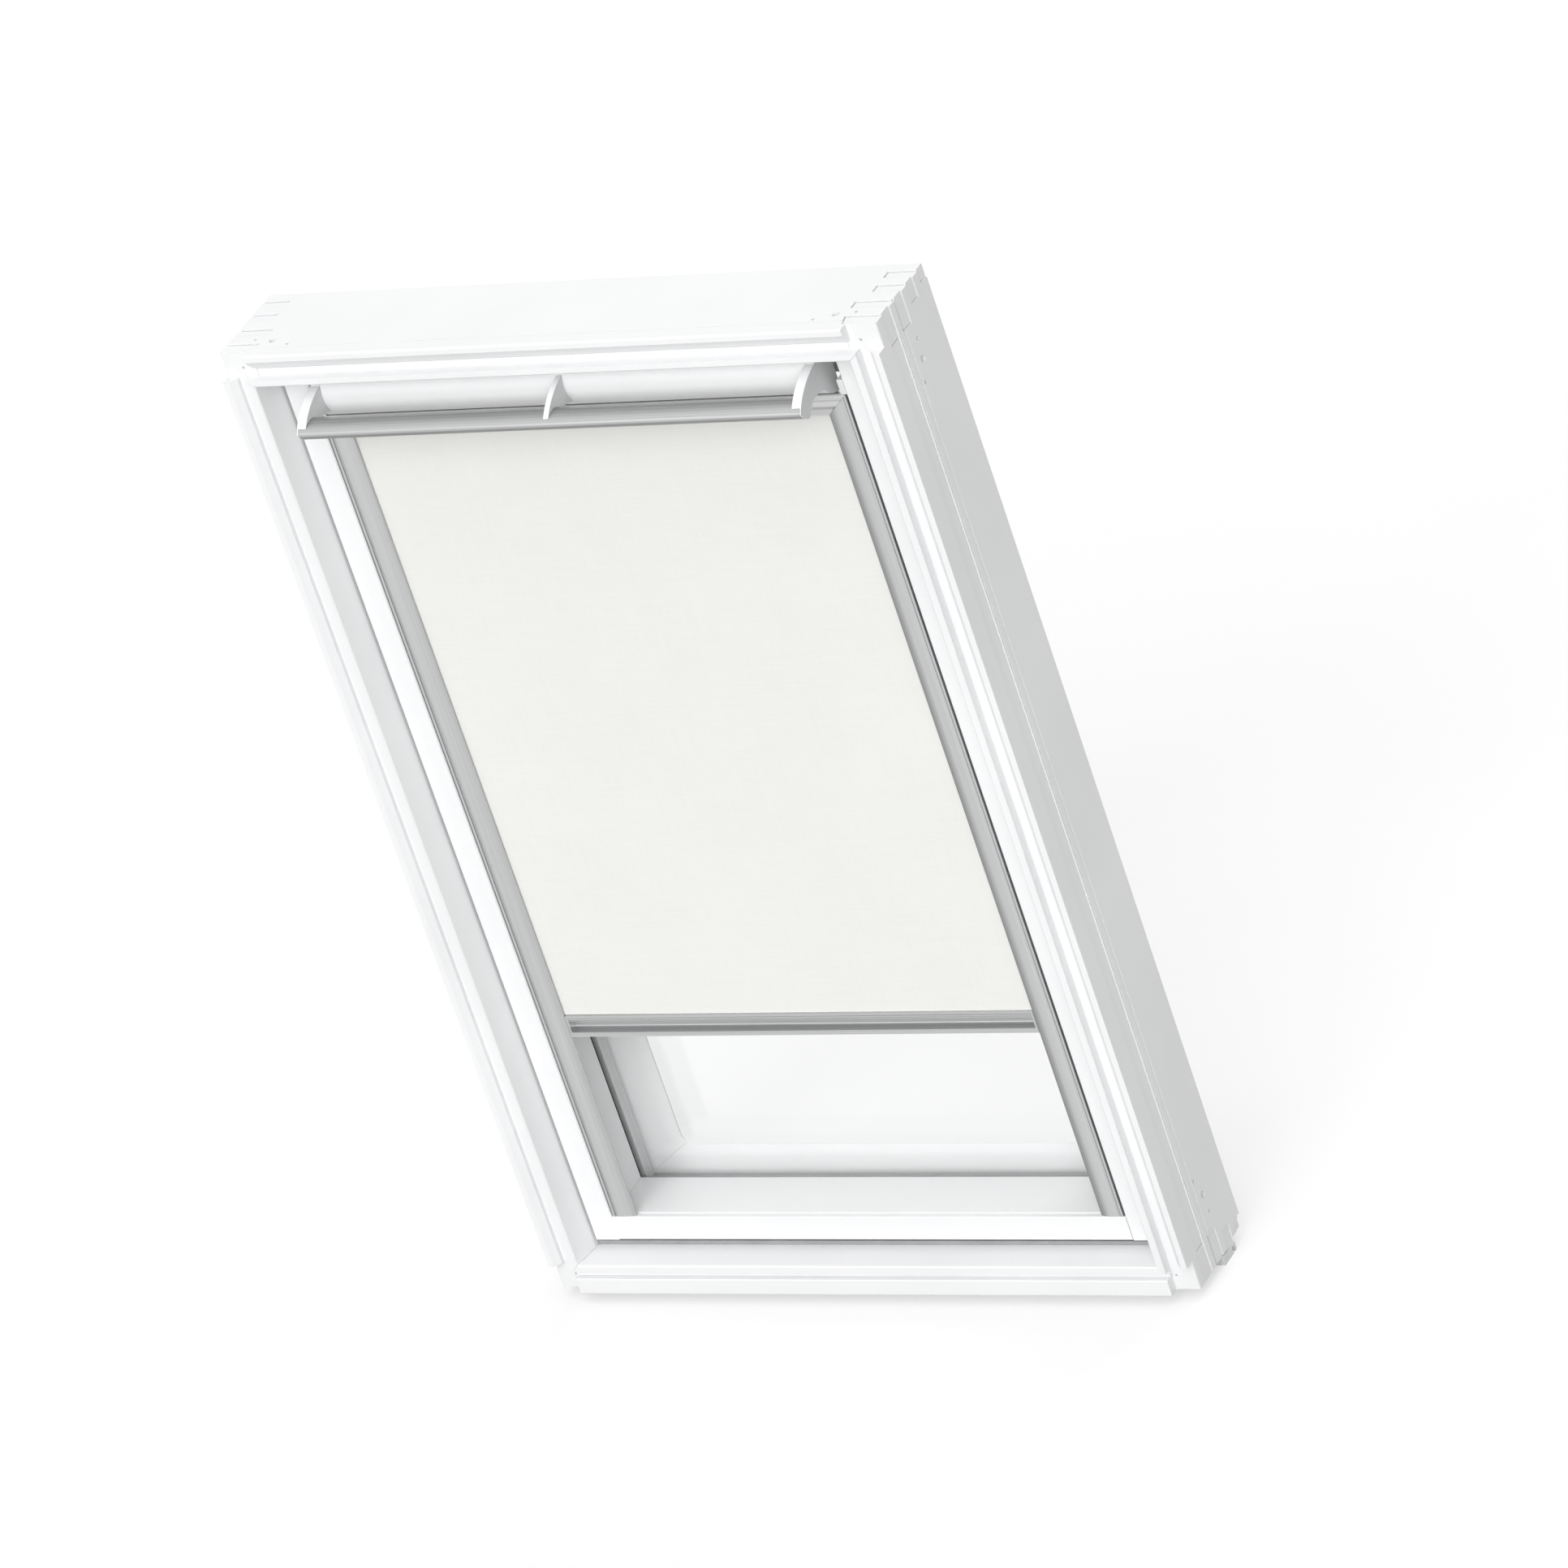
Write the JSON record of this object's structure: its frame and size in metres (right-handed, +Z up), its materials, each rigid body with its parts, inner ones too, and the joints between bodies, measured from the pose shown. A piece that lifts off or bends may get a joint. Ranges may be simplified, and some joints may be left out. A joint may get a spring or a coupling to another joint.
{
  "type": "roof window with roller blind",
  "caption": "Centre-pivot roof window with a ventilation flap worked by a control bar, and a fabric roller blind that runs in side channels on its sash.",
  "frame": {"origin": "middle of the frame in the plane of its room face", "axes": "+X to the right seen from the room, +Y from the room to the weather side, +Z up the slope"},
  "size_m": [0.78, 0.1701, 1.1886],
  "materials": {
    "white_paint": "satin",
    "white_lacquer": "satin",
    "grey_rubber": "matte",
    "dark_rubber": "matte",
    "aluminium": "satin",
    "steel": "brushed",
    "cover_sheet": "satin",
    "spacer": "satin",
    "clear_glass": "clear",
    "blind_cloth": "woven",
    "white_plastic": "satin",
    "sealed_wood": "white coating"
  },
  "bodies": {
    "frame": {"frame_side_left": "sealed_wood", "frame_side_right": "sealed_wood", "frame_top": "sealed_wood", "frame_bottom": "sealed_wood", "frame_strip_top": "sealed_wood", "frame_strip_bottom": "sealed_wood", "corner_pin_top_left": "steel", "corner_pin_top_right": "steel", "corner_pin_bottom_left": "steel", "corner_pin_bottom_right": "steel", "frame_seal_bottom": "grey_rubber", "drip_bar": "white_plastic", "frame_cover_top": "cover_sheet", "frame_cover_bottom": "cover_sheet", "frame_cover_left": "cover_sheet", "frame_cover_right": "cover_sheet", "pivot_plate_left": "steel", "pivot_plate_right": "steel", "lock_striker": "steel"},
    "sash": {"sash_stile_left": "sealed_wood", "sash_stile_right": "sealed_wood", "sash_rail_top": "sealed_wood", "sash_rail_bottom": "sealed_wood", "sash_pivot_left": "steel", "sash_pivot_right": "steel", "lock_case": "steel", "flap_axle": "steel", "glazing_gasket_left": "dark_rubber", "glazing_gasket_right": "dark_rubber", "glazing_gasket_top": "dark_rubber", "glazing_gasket_bottom": "dark_rubber", "glass_spacer_left": "spacer", "glass_spacer_right": "spacer", "glass_spacer_top": "spacer", "glass_spacer_bottom": "spacer", "glass_inner": "clear_glass", "glass_outer": "clear_glass", "sash_cover_left": "white_lacquer", "sash_cover_right": "white_lacquer", "sash_cover_top": "white_lacquer", "sash_cover_bottom": "white_lacquer", "blind_cassette": "aluminium", "side_channel_left": "aluminium", "side_channel_right": "aluminium", "cassette_cap_left": "white_plastic", "cassette_cap_right": "white_plastic", "blind_bracket_left": "white_plastic", "blind_bracket_right": "white_plastic", "blind_fabric": "blind_cloth"},
    "flap": {"flap_shell": "white_paint", "flap_arm_left": "white_paint", "flap_arm_middle": "white_paint", "flap_arm_right": "white_paint", "control_bar": "aluminium"},
    "blind_bar": {"blind_bar": "aluminium", "bar_runner_left": "white_plastic", "bar_runner_right": "white_plastic"},
    "roller": {"roller_tube": "aluminium"}
  },
  "joints": [
    {"name": "sash_pivot", "type": "hinge", "parent": "frame", "child": "sash", "pos_m": [0, 0.07, 0], "axis": [1, 0, 0], "range_deg": [0, 180]},
    {"name": "vent_flap", "type": "hinge", "parent": "sash", "child": "flap", "pos_m": [0, 0.0515, 0.5273], "axis": [1, 0, 0], "range_deg": [0, 30]},
    {"name": "blind_slide", "type": "slide", "parent": "sash", "child": "blind_bar", "axis": [0, 0, 1], "range_m": [-0.229, 0.72], "deforming": ["blind_fabric"]},
    {"name": "roller_turn", "type": "hinge", "parent": "sash", "child": "roller", "pos_m": [0, 0.0516, 0.4792], "axis": [1, 0, 0], "range_deg": [-4211, 1340]}
  ],
  "couplings": [
    {"joint": "roller_turn", "follows": "blind_slide", "rad_per_m": -102.04}
  ]
}
